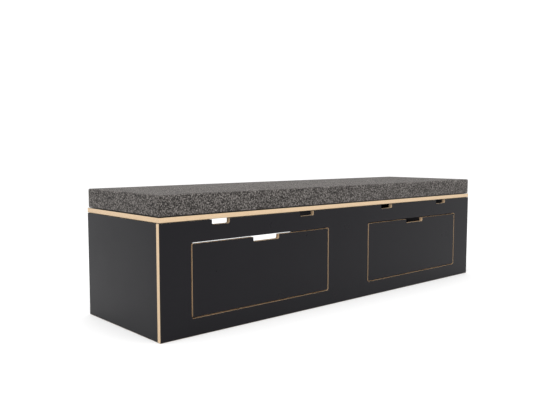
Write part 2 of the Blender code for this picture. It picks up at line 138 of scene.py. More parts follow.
def board(name, loops, axis, low, high, looks, arris=ARRIS):
    """A board whose outline lies in the plane across one axis: its outer loop, then its holes. Each loop is
    carried through the thickness: ring k is the loop inset by arris * (1 - sin t) at arris * (1 - cos t)
    from its face, with t from 0 to a quarter turn, and the same in reverse at the other face. Both faces
    fill the end rings. The UV map holds metres: along the cut and across the plies on the edges, and the
    plane's own two axes on the faces."""
    t = np.linspace(0, math.pi / 2, ARRIS_STEPS)
    distances = np.concatenate([arris * (1 - np.sin(t)), arris * (1 - np.sin(t[::-1]))])
    depths = np.concatenate([low + arris * (1 - np.cos(t)), high - arris * (1 - np.cos(t[::-1]))])
    rings = len(depths)
    points, faces, uvs, kinds, first, last = [], [], [], [], [], []
    count = 0
    for number, loop in enumerate(loops):
        ahead = np.roll(loop, -1, 0)
        anticlockwise = (loop[:, 0] * ahead[:, 1] - loop[:, 1] * ahead[:, 0]).sum() > 0
        if anticlockwise != (number == 0):
            loop = loop[::-1]
        n = len(loop)
        flat = inset(loop, distances)
        ring = np.insert(flat, axis, np.broadcast_to(depths[:, None], flat.shape[:2]), axis=2)
        points.append(ring.reshape(-1, 3))
        quads = ring_faces(rings, n, count)
        faces += quads.tolist()
        step = np.linalg.norm(np.roll(loop, -1, 0) - loop, axis=1)
        along = np.concatenate([[0], np.cumsum(step)])
        across = depths - (low + high) / 2
        k, j = np.indices((rings - 1, n))
        corners = ((j, k), (j + 1, k), (j + 1, k + 1), (j, k + 1))
        uvs.append(np.stack([np.stack((along[u], across[v]), 2) for u, v in corners], 2).reshape(-1, 2))
        kinds += [1] * len(quads)
        first.append((count, flat[0]))
        last.append((count + (rings - 1) * n, flat[-1]))
        count += rings * n
    for end, turned in ((first, False), (last, True)):
        index = np.concatenate([start + np.arange(len(flat)) for start, flat in end])
        plane = np.concatenate([flat for _, flat in end])
        lines = [[Vector((*point, 0)) for point in flat] for _, flat in end]
        tris = np.array(tessellate_polygon(lines))
        a, b, c = plane[tris[:, 0]], plane[tris[:, 1]], plane[tris[:, 2]]
        area = (b[:, 0] - a[:, 0]) * (c[:, 1] - a[:, 1]) - (b[:, 1] - a[:, 1]) * (c[:, 0] - a[:, 0])
        wrong = (area > 0) != turned
        tris[wrong] = tris[wrong][:, ::-1]
        tris = tris[np.abs(area) > SLIVER]
        faces += index[tris].tolist()
        uvs.append(plane[tris].reshape(-1, 2))
        kinds += [0] * len(tris)
    return mesh_piece(name, np.concatenate(points), faces, looks, kinds, np.concatenate(uvs))


def add(tree, kind, inputs=None, **settings):
    """A shader node with its settings. An input is a fixed value or another node's output."""
    node = tree.nodes.new(kind)
    for key, value in settings.items():
        setattr(node, key, value)
    for key, value in (inputs or {}).items():
        if isinstance(value, bpy.types.NodeSocket):
            tree.links.new(value, node.inputs[key])
        else:
            node.inputs[key].default_value = value
    return node


def maths(tree, operation, a, b=0.0, c=0.0):
    return add(tree, "ShaderNodeMath", {0: a, 1: b, 2: c}, operation=operation).outputs[0]


def blend(tree, factor, a, b, mode="MIX"):
    """Two colours mixed by a factor."""
    node = add(tree, "ShaderNodeMix", {0: factor, 6: a, 7: b}, data_type="RGBA", blend_type=mode)
    return node.outputs[2]


def drawn_out(axis, factor):
    """Three scale factors that draw noise out along one axis."""
    stretch = [1.0, 1.0, 1.0]
    stretch[axis] = factor
    return stretch


def spread(tree, value, low, high, to_low=0.0, to_high=1.0):
    """A value's range stretched onto another, and held at its ends."""
    return add(tree, "ShaderNodeMapRange", {0: value, 1: low, 2: high, 3: to_low, 4: to_high}).outputs[0]


def noise(tree, where, scale, detail=3.0, roughness=0.55, stretch=(1, 1, 1)):
    """Noise on coordinates that are stretched by a factor along each axis."""
    place = add(tree, "ShaderNodeMapping", {"Vector": where, "Scale": stretch})
    inputs = {"Vector": place.outputs[0], "Scale": scale, "Detail": detail, "Roughness": roughness}
    return add(tree, "ShaderNodeTexNoise", inputs).outputs[0]


def finish(name, shader_inputs=None):
    """A new material: its node tree, its Principled shader and its object and UV coordinates."""
    look = bpy.data.materials.new(name)
    look.use_nodes = True
    tree = look.node_tree
    shader = tree.nodes["Principled BSDF"]
    for key, value in (shader_inputs or {}).items():
        shader.inputs[key].default_value = value
    place = add(tree, "ShaderNodeTexCoord")
    return look, tree, shader, place.outputs["Object"], place.outputs["UV"]


def coat(tree, shader, colour, height, distance, strength=1.0):
    """Gives a material its colour, and its relief from a height and a distance in metres."""
    tree.links.new(colour, shader.inputs["Base Color"])
    node = add(tree, "ShaderNodeBump", {"Height": height, "Distance": distance, "Strength": strength})
    tree.links.new(node.outputs[0], shader.inputs["Normal"])


def make_laminate():
    """Black laminate: a smooth satin film with a fine pebble, and a faint mottle in its gloss."""
    inputs = {"IOR": 1.225, "Specular Tint": (0.97, 0.90, 1.0, 1)}
    look, tree, shader, where, _ = finish("black_laminate", inputs)
    cloud = noise(tree, where, 9.0, 4.0)
    pebble = noise(tree, where, 2600.0, 2.0)
    dust = spread(tree, noise(tree, where, 420.0, 3.0), 0.66, 0.78)
    film = blend(tree, cloud, (0.0054, 0.0056, 0.0064, 1), (0.0070, 0.0072, 0.0082, 1))
    colour = blend(tree, maths(tree, "MULTIPLY", dust, 0.12), film, (0.06, 0.058, 0.055, 1))
    tree.links.new(spread(tree, cloud, 0.3, 0.7, 0.27, 0.35), shader.inputs["Roughness"])
    coat(tree, shader, colour, pebble, 0.00002)
    return look


def make_ply_edge(name, thickness, plies, film):
    """A sawn plywood edge. Across it the plies alternate between long grain, streaked along the cut, and
    end grain, darker and dotted, with a brown glue line between them. A film may close both sides."""
    look, tree, shader, _, cut = finish(name, {"Roughness": 0.52, "IOR": 1.42})
    part = add(tree, "ShaderNodeSeparateXYZ", {0: cut})
    along, across = part.outputs[0], part.outputs[1]
    wander = maths(tree, "MULTIPLY_ADD", noise(tree, cut, 22.0, 2.0, stretch=(1, 0, 1)), 0.0005, -0.00025)
    ply = maths(tree, "MULTIPLY_ADD", maths(tree, "ADD", across, wander), plies / thickness, plies / 2)
    number = maths(tree, "FLOOR", ply)
    place = maths(tree, "FRACT", ply)
    crossed = maths(tree, "MODULO", maths(tree, "ABSOLUTE", number), 2.0)
    row = add(tree, "ShaderNodeCombineXYZ", {0: along, 1: across, 2: number}).outputs[0]
    streak = noise(tree, row, 1.0, 4.0, 0.6, (26, 2600, 7.3))
    dots = noise(tree, row, 1.0, 2.0, 0.5, (1500, 1500, 3.1))
    tone = noise(tree, row, 1.0, 2.0, 0.5, (5, 0, 11.7))
    light = spread(tree, streak, 0.3, 0.72)
    long_grain = blend(tree, light, (0.67, 0.520, 0.352, 1), (0.54, 0.392, 0.241, 1))
    dark = spread(tree, dots, 0.35, 0.7)
    end_grain = blend(tree, dark, (0.57, 0.415, 0.255, 1), (0.38, 0.245, 0.135, 1))
    wood = blend(tree, maths(tree, "MULTIPLY", crossed, 0.9), long_grain, end_grain)
    wood = blend(tree, spread(tree, tone, 0.42, 0.75, 0.0, 0.35), wood, (0.50, 0.36, 0.22, 1))
    centre = maths(tree, "ABSOLUTE", maths(tree, "SUBTRACT", place, 0.5))
    glue = spread(tree, centre, 0.44, 0.49, 0.0, 0.55)
    wood = blend(tree, glue, wood, (0.36, 0.21, 0.10, 1))
    if film:
        start = thickness / 2 - FILM
        rim = spread(tree, maths(tree, "ABSOLUTE", across), start - FILM_BLUR, start)
        wood = blend(tree, rim, wood, (0.0075, 0.0075, 0.008, 1))
    relief = maths(tree, "MULTIPLY_ADD", dots, crossed, maths(tree, "MULTIPLY", streak, 0.4))
    coat(tree, shader, wood, maths(tree, "SUBTRACT", relief, glue), 0.00006)
    return look


def make_ply_face(name, grain_axis):
    """A rotary-cut birch face veneer: long pale bands that waver along the grain, with fine pores."""
    look, tree, shader, where, _ = finish(name, {"Roughness": 0.48, "IOR": 1.45})
    figure = noise(tree, where, 34.0, 4.0, 0.55, drawn_out(grain_axis, 0.09))
    pores = noise(tree, where, 1400.0, 3.0, 0.6, drawn_out(grain_axis, 0.012))
    bands = maths(tree, "FRACT", maths(tree, "MULTIPLY", figure, 5.0))
    wave = maths(tree, "PINGPONG", bands, 0.5)
    wood = blend(tree, spread(tree, wave, 0.0, 0.5), (0.80, 0.63, 0.42, 1), (0.70, 0.51, 0.31, 1))
    wood = blend(tree, spread(tree, pores, 0.52, 0.75, 0.0, 0.45), wood, (0.48, 0.32, 0.18, 1))
    coat(tree, shader, wood, pores, 0.00004)
    return look


def rectangle(low, high, axes):
    """The four corners of a box's outline in a plane, anticlockwise."""
    u, v = axes
    return [(low[u], low[v]), (high[u], low[v]), (high[u], high[v]), (low[u], high[v])]


def stand_for(piece, node, body):
    """Puts a piece in the place of one solid of the frame."""
    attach(piece, body)
    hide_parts(node)
    return piece


def place_board(node, loops, axis, looks, body, kind="board", arris=ARRIS):
    """A board, or another part cut to an outline, in the place of one solid of the frame."""
    low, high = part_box(node)
    piece = board(f"{node}_{kind}", loops, axis, low[axis], high[axis], looks, arris)
    return stand_for(piece, node, body)


def plain_board(node, axis, looks, body):
    """A rectangular board in the place of one solid of the frame."""
    plane = [k for k in range(3) if k != axis]
    loop = outline(rectangle(*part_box(node), plane), CORNER)
    return place_board(node, [loop], axis, looks, body)


front_low, front_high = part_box("front_panel")
BOARD = front_high.y - front_low.y
laminate = make_laminate()
faced = (laminate, make_ply_edge("faced_birch_edge", BOARD, 11, True))
bare_edge = make_ply_edge("bare_birch_edge", BOARD, 11, False)
lengthwise = make_ply_face("birch_face_lengthwise", 0)
crosswise = make_ply_face("birch_face_crosswise", 1)

# The front panel: finger notches in its top edge, and an opening round each drawer front.
FRONT_GAP = 0.004
OPENING_RADIUS = 0.008
LID_NOTCH = (0.065, 0.015)
LID_NOTCH_OFFSET = 0.1785
NOTCH_RADIUS = 0.005
NOTCH_LIP = 0.0015
NOTCH_RADII = [NOTCH_LIP, NOTCH_RADIUS, NOTCH_RADIUS, NOTCH_LIP]


def notch(centre, size, top):
    """The corners of a notch in a top edge, from right to left."""
    left, right, floor = centre - size[0] / 2, centre + size[0] / 2, top - size[1]
    return [(right, top), (right, floor), (left, floor), (left, top)]


corners = rectangle(front_low, front_high, (0, 2))[:3]
radii = [CORNER] * 3
openings = []
for bay, _ in reversed(BAYS):
    low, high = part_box(f"{bay}_drawer_front")
    for side in (1, -1):
        centre = (low.x + high.x) / 2 + side * LID_NOTCH_OFFSET
        corners += notch(centre, LID_NOTCH, front_high.z)
        radii += NOTCH_RADII
    gap = Vector((FRONT_GAP, 0, FRONT_GAP))
    opening = rectangle(low - gap, high + gap, (0, 2))
    openings.append(outline(opening[::-1], OPENING_RADIUS))
corners.append((front_low.x, front_high.z))
radii.append(CORNER)
place_board("front_panel", [outline(corners, radii)] + openings, 1, faced, "carcass")

for side, _ in BAYS:
    plain_board(f"{side}_side_panel", 0, faced, "carcass")

# The back panel has a long window, and a shallow rebate under each hinge leaf. The divider is notched
# behind the window and rebated under the middle hinge.
WINDOW = (0.175, 0.165, 0.285)
WINDOW_RADIUS = 0.020
DIVIDER_NOTCH = 0.120
HINGE_LEAF = 0.0015
SQUARE = 0.0001

back_low, back_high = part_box("back_panel")
corners = rectangle(back_low, back_high, (0, 2))[:3]
radii = [CORNER] * 3
for hinge in ("right_hinge", "middle_hinge", "left_hinge"):
    low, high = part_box(f"{hinge}_lid_leaf")
    rebate = high.z - HINGE_LEAF - FIT
    left, right = low.x - FIT, high.x + FIT
    corners += [(right, back_high.z), (right, rebate), (left, rebate), (left, back_high.z)]
    radii += [SQUARE] * 4
corners.append((back_low.x, back_high.z))
radii.append(CORNER)
end = front_high.x - WINDOW[0]
window = [(-end, WINDOW[1]), (-end, WINDOW[2]), (end, WINDOW[2]), (end, WINDOW[1])]
loops = [outline(corners, radii), outline(window, WINDOW_RADIUS)]
place_board("back_panel", loops, 1, faced, "carcass")

low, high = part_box("centre_divider")
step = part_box("middle_hinge_lid_leaf")[0].y - FIT
deep = back_low.y - DIVIDER_NOTCH
corners = [
    (low.y, low.z),
    (high.y, low.z),
    (high.y, WINDOW[1]),
    (deep, WINDOW[1]),
    (deep, WINDOW[2]),
    (high.y, WINDOW[2]),
    (high.y, rebate),
    (step, rebate),
    (step, high.z),
    (low.y, high.z),
]
radii = [CORNER] * 3 + [WINDOW_RADIUS] * 2 + [CORNER] + [SQUARE] * 3 + [CORNER]
place_board("centre_divider", [outline(corners, radii)], 0, faced, "carcass")

for bay, _ in BAYS:
    plain_board(f"{bay}_bottom_panel", 2, (lengthwise, bare_edge), "carcass")
    for side, _ in BAYS:
        carrier = f"{bay}_bay_{side}_slide_carrier"
        plain_board(carrier, 0, (crosswise, bare_edge), "carcass")


# --- Cam fittings ------------------------------------------------
# Zinc cams in the inner faces of the sides and the divider draw the front and back panels tight on steel
# dowels. Each is a disc with a cross recess, turned with a screwdriver when the box is put together.

CAM_RADIUS = 0.0075
CAM_PROUD = 0.0006
CAM_INSET = 0.034
CAM_HEIGHTS = (0.220, 0.300)
DIVIDER_REAR_HEIGHTS = (0.140, 0.300)
CROSS_ARM = 0.62
CROSS_HALF = 0.15
CROSS_CORNER = 0.3
HEAD_ROUND = 0.98
HEAD_BASE = (0.85, 0.83, 0.3)
HEAD_ARRIS = 0.25
DISC_STEPS = 4


def make_zinc(name, streak_axis, dark=0.0):
    """Zinc-plated steel: a cool grey with a faint spangle, rolled in fine streaks along one axis."""
    look, tree, shader, where, _ = finish(name, {"Metallic": 1.0})
    streaks = noise(tree, where, 1500.0, 3.0, 0.6, drawn_out(streak_axis, 0.03))
    spangle = add(tree, "ShaderNodeTexVoronoi", {"Vector": where, "Scale": 260.0}).outputs["Color"]
    grey = add(tree, "ShaderNodeRGBToBW", {0: spangle}).outputs[0]
    dull = (0.55 - dark, 0.56 - dark, 0.58 - dark, 1)
    pale = (0.62 - dark, 0.63 - dark, 0.65 - dark, 1)
    tint = blend(tree, grey, dull, pale)
    worn = spread(tree, noise(tree, where, 60.0, 4.0), 0.5, 0.8, 0.0, 0.4)
    tint = blend(tree, worn, tint, (0.42 - dark, 0.41 - dark, 0.40 - dark, 1))
    tree.links.new(spread(tree, streaks, 0.3, 0.7, 0.26, 0.46), shader.inputs["Roughness"])
    coat(tree, shader, tint, streaks, 0.00003)
    return look


def disc(centre, reach, radius, steps=CORNER_STEPS):
    """A round outline: a square of the given reach, with its corners rounded almost to its middle."""
    corners = np.array([(-1, -1), (1, -1), (1, 1), (-1, 1)])
    return outline(corners * reach + centre, radius, steps)


def screw_head(place, axis, out, radius, height, look):
    """A round head that stands on a face: a rim with a cross-shaped hole, over a lower floor."""
    centre = np.delete(np.array(place), axis)
    a, h = CROSS_ARM * radius, CROSS_HALF * radius
    arms = [(-h, -a), (h, -a), (h, -h), (a, -h), (a, h), (h, h)]
    arms += [(h, a), (-h, a), (-h, h), (-a, h), (-a, -h), (-h, -h)]
    rim = disc(centre, radius, HEAD_ROUND * radius)
    cross = outline(np.array(arms) + centre, CROSS_CORNER * h, 2)
    reach, corner, floor = HEAD_BASE
    base = disc(centre, reach * radius, corner * radius, DISC_STEPS)
    parts = []
    for loops, top in (([rim, cross], height), ([base], floor * height)):
        low, high = sorted((place[axis], place[axis] + out * top))
        parts.append(board("screw_head", loops, axis, low, high, (look,), HEAD_ARRIS * top))
    return parts


def gather(name, parts, body):
    """One piece that holds several parts' meshes end to end."""
    whole = bmesh.new()
    for part in parts:
        whole.from_mesh(part.data)
    mesh = bpy.data.meshes.new(name)
    whole.to_mesh(mesh)
    whole.free()
    for look in parts[0].data.materials:
        mesh.materials.append(look)
    for part in parts:
        bpy.data.objects.remove(part, do_unlink=True)
    piece = in_scene(name, mesh)
    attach(piece, body)
    return piece


zinc = make_zinc("zinc_plate", 1)
inside = {"front": front_high.y + CAM_INSET, "rear": back_low.y - CAM_INSET}
faces_with_cams = [
    ("left_side_panel", 1, CAM_HEIGHTS),
    ("right_side_panel", -1, CAM_HEIGHTS),
    ("centre_divider", -1, DIVIDER_REAR_HEIGHTS),
    ("centre_divider", 1, DIVIDER_REAR_HEIGHTS),
]
cams = []
for node, out, rear_heights in faces_with_cams:
    low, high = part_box(node)
    x = high.x if out > 0 else low.x
    for end, heights in (("front", CAM_HEIGHTS), ("rear", rear_heights)):
        for z in heights:
            cams += screw_head((x, inside[end], z), 0, out, CAM_RADIUS, CAM_PROUD, zinc)
gather("cam_fittings", cams, "carcass")


# --- Floor glides ------------------------------------------------
# Six plastic discs nailed under the sides and the divider carry the box clear of the floor. Each has a
# sunk centre for its nail and a rounded rim, so it slides without catching.

GLIDE_PROFILE = (
    (0, 0.0006),
    (0.0014, 0.0006),
    (0.0019, 0.0001),
    (0.0022, 0),
    (0.0044, 0),
    (0.0053, 0.0001),
    (0.0058, 0.0004),
    (0.0060, 0.0008),
    (0.0060, 0.0012),
    (0, 0.0012),
)


def pole_faces(rings, n):
    """The triangles that close the first and the last ring of n points at poles numbered after them."""
    j = np.arange(n)
    ahead = (j + 1) % n
    top = (rings - 1) * n
    first = np.stack([ahead, j, 0 * j + rings * n], 1)
    last = np.stack([top + j, top + ahead, 0 * j + rings * n + 1], 1)
    return np.concatenate([first, last])


def turned(name, profile, place, looks, steps=40):
    """A disc turned on an upright axis: each point (r, h) of the profile goes round the place at every
    angle a, to (r cos a, r sin a, h). Its first and last points lie on the axis and close it."""
    radius, height = np.array(profile[1:-1]).T[:, :, None]
    a = np.linspace(0, 2 * math.pi, steps, endpoint=False)[None]
    ring = np.stack([radius * np.cos(a), radius * np.sin(a), height + 0 * a], 2)
    poles = [(0, 0, profile[0][1]), (0, 0, profile[-1][1])]
    points = np.concatenate([ring.reshape(-1, 3), poles]) + np.array(place)
    rings = len(profile) - 2
    faces = ring_faces(rings, steps).tolist() + pole_faces(rings, steps).tolist()
    return mesh_piece(name, points, faces, looks)


def place_turned(node, profile, look, body, kind):
    """A turned piece in the place of one solid of the frame, up from the middle of its underside."""
    low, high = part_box(node)
    centre = ((low.x + high.x) / 2, (low.y + high.y) / 2, low.z)
    stand_for(turned(f"{node}_{kind}", profile, centre, [look]), node, body)


def make_moulded(name, pale, dark, roughness):
    """A moulded plastic or rubber: a fine spark-eroded grain, a cloudy tint and a few dull scuffs."""
    look, tree, shader, where, _ = finish(name, {"IOR": 1.45})
    cloud = noise(tree, where, 160.0, 3.0)
    scuffs = noise(tree, where, 900.0, 4.0, 0.7, (1, 0.1, 1))
    colour = blend(tree, spread(tree, cloud, 0.35, 0.65), pale, dark)
    tree.links.new(spread(tree, scuffs, 0.4, 0.7, roughness, roughness + 0.25), shader.inputs["Roughness"])
    coat(tree, shader, colour, noise(tree, where, 5200.0, 2.0), 0.00003)
    return look


glide_plastic = make_moulded("glide_plastic", (0.038, 0.037, 0.036, 1), (0.024, 0.023, 0.022, 1), 0.42)
for end in ("front", "rear"):
    for place in ("left", "middle", "right"):
        node = f"{end}_{place}_floor_glide"
        place_turned(node, GLIDE_PROFILE, glide_plastic, "carcass", "disc")


# --- Drawer slides -----------------------------------------------
# Each drawer runs on two telescopic slides of zinc-plated steel. An outer, a middle and an inner rail nest
# in each other, and steel balls in punched cages run between their flanges. Pan-head screws fix the outer
# rail to its carrier and the inner rail to the drawer's side.

RAIL_WALL = 0.0012
RAIL_BEND = 0.0016
RAIL_LIP = 0.0005
RAIL_ARRIS = 0.00015
RAIL_SCREW = (0.0032, 0.0010)
RAIL_SCREW_PLACES = (0.034, 0.174, 0.314)
BALL_RADIUS = 0.0016
BALL_SIDES = 8
BALL_RINGS = np.radians([-45, 0, 45])
BALL_PITCH = 0.018
BALLS = 8
CAGE_HALF = 0.0026
CAGE_WALL = 0.0007
CAGE_HOLE = 0.0017
HOLE_ROUND = 0.97
CAGE_CORNER = 0.001
CAGE_ARRIS = 0.0001
OUTER_TRACK = (0.0065, 0.01965, 0.189)
INNER_TRACK = (0.0078, 0.01515, 0.014)


def channel(low, high, web, reach):
    """A channel's section: a web, two flanges, rounded bends and rounded lips."""
    turn = math.copysign(RAIL_WALL, reach - web)
    corners = [
        (web, low.z),
        (reach, low.z),
        (reach, low.z + RAIL_WALL),
        (web + turn, low.z + RAIL_WALL),
        (web + turn, high.z - RAIL_WALL),
        (reach, high.z - RAIL_WALL),
        (reach, high.z),
        (web, high.z),
    ]
    lip, bend, inner = RAIL_LIP, RAIL_BEND, RAIL_BEND - RAIL_WALL
    return outline(corners, [bend, lip, lip, inner, inner, lip, lip, bend])


def make_balls(name, centres, look):
    """Balls on one mesh: centre + r * (cos a cos b, sin a cos b, sin b) on a coarse grid of angles."""
    around = np.linspace(0, 2 * math.pi, BALL_SIDES, endpoint=False)
    a, b = np.meshgrid(around, BALL_RINGS)
    ring = np.stack([np.cos(a) * np.cos(b), np.sin(a) * np.cos(b), np.sin(b)], 2).reshape(-1, 3)
    unit = np.concatenate([ring, [(0, 0, -1), (0, 0, 1)]])
    quads = ring_faces(len(BALL_RINGS), BALL_SIDES)
    caps = pole_faces(len(BALL_RINGS), BALL_SIDES)
    shift = (np.arange(len(centres)) * len(unit))[:, None, None]
    points = (np.array(centres)[:, None] + BALL_RADIUS * unit[None]).reshape(-1, 3)
    faces = (quads[None] + shift).reshape(-1, 4).tolist() + (caps[None] + shift).reshape(-1, 3).tolist()
    return mesh_piece(name, points, faces, [look], sharp=90)


ball_steel = make_zinc("ball_steel", 1, -0.15)
for bay, _ in BAYS:
    fixed_screws, moving_screws = [], []
    for side, out in BAYS:
        slide = f"{bay}_drawer_{side}_slide"
        carrier_low, carrier_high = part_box(f"{bay}_bay_{side}_slide_carrier")
        face = carrier_high.x + FIT if out < 0 else carrier_low.x - FIT
        for part, body, faces_out in (
            ("outer", "carcass", True),
            ("middle", f"{bay}_middle_rails", True),
            ("inner", f"{bay}_drawer", False),
        ):
            low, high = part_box(f"{slide}_{part}_rail")
            web, reach = (low.x, high.x) if (out < 0) == faces_out else (high.x, low.x)
            section = [channel(low, high, web, reach)]
            place_board(f"{slide}_{part}_rail", section, 1, (zinc,), body, "channel", RAIL_ARRIS)
            middle = (low.z + high.z) / 2
            towards = math.copysign(1, reach - web)
            for y in RAIL_SCREW_PLACES if part != "middle" else ():
                head = (web + towards * RAIL_WALL, low.y + y, middle)
                screws = fixed_screws if part == "outer" else moving_screws
                screws += screw_head(head, 0, towards, *RAIL_SCREW, zinc)
        cages, centres = [], []
        for depth, height, start in (OUTER_TRACK, INNER_TRACK):
            x = face - out * depth
            places = [low.y + start + BALL_PITCH * k for k in range(BALLS)]
            near = (x - CAGE_HALF, places[0] - BALL_PITCH / 2)
            far = (x + CAGE_HALF, places[-1] + BALL_PITCH / 2)
            strip = outline(rectangle(near, far, (0, 1)), CAGE_CORNER, DISC_STEPS)
            holes = [disc((x, y), CAGE_HOLE, HOLE_ROUND * CAGE_HOLE, DISC_STEPS) for y in places]
            for z in (middle - height, middle + height):
                sides = (z - CAGE_WALL / 2, z + CAGE_WALL / 2)
                cages.append(board("ball_cage", [strip, *holes], 2, *sides, (ball_steel,), CAGE_ARRIS))
                centres += [(x, y, z) for y in places]
        cages.append(make_balls("balls", centres, ball_steel))
        gather(f"{slide}_ball_cages", cages, f"{bay}_middle_rails")
    gather(f"{bay}_bay_carrier_screws", fixed_screws, "carcass")
    gather(f"{bay}_drawer_rail_screws", moving_screws, f"{bay}_drawer")


# --- Drawers -----------------------------------------------------
# Each drawer front is cut from the same faced board and sits flush in its opening. Behind it a box of
# 12 mm birch plywood holds a 6 mm bottom in its grooves.

DRAWER_RADIUS = 0.004
DRAWER_WALL = 0.012
DRAWER_BOTTOM = 0.006
PULL_NOTCH = (0.107, 0.014)
BOX_FACES = ((0, 1, 3, 2), (4, 6, 7, 5), (0, 4, 5, 1), (2, 3, 7, 6), (0, 2, 6, 4), (1, 5, 7, 3))


def carve(piece, low, high):
    """Takes a box out of a piece with an exact Boolean, and applies it."""
    u, v, w = np.meshgrid(*zip(low, high), indexing="ij")
    points = np.stack([u, v, w], 3).reshape(-1, 3)
    tool = mesh_piece("carving_tool", points, BOX_FACES, piece.data.materials[-1:], smooth=False)
    modifier = piece.modifiers.new("carve", "BOOLEAN")
    modifier.object = tool
    modifier.solver = "EXACT"
    carved = bpy.data.meshes.new_from_object(piece.evaluated_get(bpy.context.evaluated_depsgraph_get()))
    piece.modifiers.clear()
    piece.data = carved
    bpy.data.objects.remove(tool, do_unlink=True)


wall_edge = make_ply_edge("drawer_birch_edge", DRAWER_WALL, 9, False)
tray_edge = make_ply_edge("tray_birch_edge", DRAWER_BOTTOM, 5, False)
for bay, _ in BAYS:
    body = f"{bay}_drawer"
    low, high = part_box(f"{body}_front")
    corners = rectangle(low, high, (0, 2))
    corners[3:3] = notch((low.x + high.x) / 2, PULL_NOTCH, high.z)
    radii = [DRAWER_RADIUS] * 3 + NOTCH_RADII + [DRAWER_RADIUS]
    grooved = [place_board(f"{body}_front", [outline(corners, radii)], 1, faced, body)]
    walls = (("left_side", 0, crosswise), ("right_side", 0, crosswise), ("back", 1, lengthwise))
    for wall, axis, grain in walls:
        grooved.append(plain_board(f"{body}_{wall}", axis, (grain, wall_edge), body))
    tray_low, tray_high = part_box(f"{body}_bottom")
    clear = Vector((FIT, FIT, FIT))
    for piece in grooved:
        carve(piece, tray_low - clear, tray_high + clear)
    plain_board(f"{body}_bottom", 2, (lengthwise, tray_edge), body)


# --- Lid ---------------------------------------------------------
# The lid is one board of the same faced plywood, flush with the box all round. Its bare edges are sanded
# like the box's, and it is lifted by the fingers, in the notches under its front edge.

plain_board("lid_panel", 2, faced, "lid")


# --- Lid bumpers -------------------------------------------------
# Two soft dark-grey bumpers, moulded in rubber, are stuck under the lid's front corners. They quieten the
# lid when it is dropped.

BUMPER_PROFILE = (
    (0, 0),
    (0.0030, 0),
    (0.0042, 0.0001),
    (0.0048, 0.0004),
    (0.0050, 0.0007),
    (0.0050, 0.0009),
    (0, 0.0009),
)

bumper_rubber = make_moulded("bumper_rubber", (0.10, 0.10, 0.10, 1), (0.06, 0.06, 0.06, 1), 0.55)
for side, _ in BAYS:
    place_turned(f"{side}_lid_bumper", BUMPER_PROFILE, bumper_rubber, "lid", "dome")


# --- Hinges ------------------------------------------------------
# Three butt hinges of zinc-plated steel. The box leaf lies on the back panel, the lid leaf is let into its
# top edge under the lid, and both are rolled round one pin. Countersunk screws hold them.

HINGE_SCREW = (0.0030, 0.0005)
BOX_SCREWS = ((-0.024, 0.011), (0.0, 0.007), (0.024, 0.011))
LID_SCREWS = (-0.027, -0.0135, 0.0135, 0.027)
LID_SCREW_INSET = 0.0054

hinge_steel = make_zinc("hinge_steel", 0, 0.30)
box_screws, lid_screws = [], []
for hinge in ("left_hinge", "middle_hinge", "right_hinge"):
    for part in ("box_leaf", "lid_leaf", "pin"):
        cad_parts[f"{hinge}_{part}"].material_slots[0].material = hinge_steel
    low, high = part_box(f"{hinge}_box_leaf")
    centre = (low.x + high.x) / 2
    for x, z in BOX_SCREWS:
        box_screws += screw_head((centre + x, low.y + HINGE_LEAF, low.z + z), 1, 1, *HINGE_SCREW, zinc)
    low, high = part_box(f"{hinge}_lid_leaf")
    for x in LID_SCREWS:
        place = (centre + x, low.y + LID_SCREW_INSET, high.z - HINGE_LEAF)
        lid_screws += screw_head(place, 2, -1, *HINGE_SCREW, zinc)
gather("hinge_box_screws", box_screws, "carcass")
gather("hinge_lid_screws", lid_screws, "lid")


# --- Cushion tapes -----------------------------------------------
# Two strips of hook tape stuck on the lid meet two strips of loop tape sewn under the cushion, so the
# cushion stays put and still comes off to be washed.

TAPE_CORNER = 0.002
TAPE_ARRIS = 0.0002


def make_tape_cloth(name, scale, depth):
    """Black tape: rows of tiny hooks or a felt of loops on a woven ground."""
    look, tree, shader, where, _ = finish(name, {"Roughness": 0.9, "IOR": 1.3})
    pile = add(tree, "ShaderNodeTexVoronoi", {"Vector": where, "Scale": scale}).outputs[0]
    lint = noise(tree, where, 700.0, 4.0)
    colour = blend(tree, pile, (0.030, 0.030, 0.032, 1), (0.008, 0.008, 0.009, 1))
    colour = blend(tree, spread(tree, lint, 0.6, 0.8, 0.0, 0.3), colour, (0.20, 0.19, 0.18, 1))
    coat(tree, shader, colour, pile, depth)
    return look


for kind, scale, depth in (("hook", 900.0, 0.0003), ("loop", 1700.0, 0.0002)):
    cloth = make_tape_cloth(f"{kind}_tape_cloth", scale, depth)
    for place in ("front", "rear"):
        node = f"{place}_{kind}_tape"
        loop = outline(rectangle(*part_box(node), (0, 1)), TAPE_CORNER)
        place_board(node, [loop], 2, (cloth,), "lid", "strip", TAPE_ARRIS)


# --- Seat cushion ------------------------------------------------
# A foam slab in a tight cover of grey melange tweed. The cover is sewn from a top, a bottom and a boxing
# strip, with its seams along the edges and at the corners, and it hugs the foam, which swells a little.

SEAT_RADIUS = 0.0050
SEAT_CELL = 0.012
SEAM_DEPTH = 0.0005
SWELL = 0.0030
CROWN = 0.0017
PROUD = 0.0030
PULL_IN = 0.2
SHRINK = 0.0002
UNDERSIDE = 0.006
UNDERSIDE_FADE = 0.005
DROOP = 0.0009
DROOP_REACH = 0.030
SEAM_SPREAD = 0.12
ZIP_BAND = (0.0034, 0.0062)
PRESS_REACH = 0.004
PRESS_GAP = 0.0002
PRESS_DEPTH = 0.0004
FOAM_CLEARANCE = 0.0013
CLOTH_STEPS = 20
CLOTH = {
    "quality": 4,
    "mass": 0.25,
    "tension_stiffness": 12,
    "compression_stiffness": 12,
    "shear_stiffness": 5,
    "bending_stiffness": 0.6,
    "use_pressure": True,
    "uniform_pressure_force": 4.0,
}
BAND_LINES = 4
EDGE_TURNS = np.tan(np.radians([45, 40, 30, 15]))
FACE_SHIFT = (0.137, 0.061)
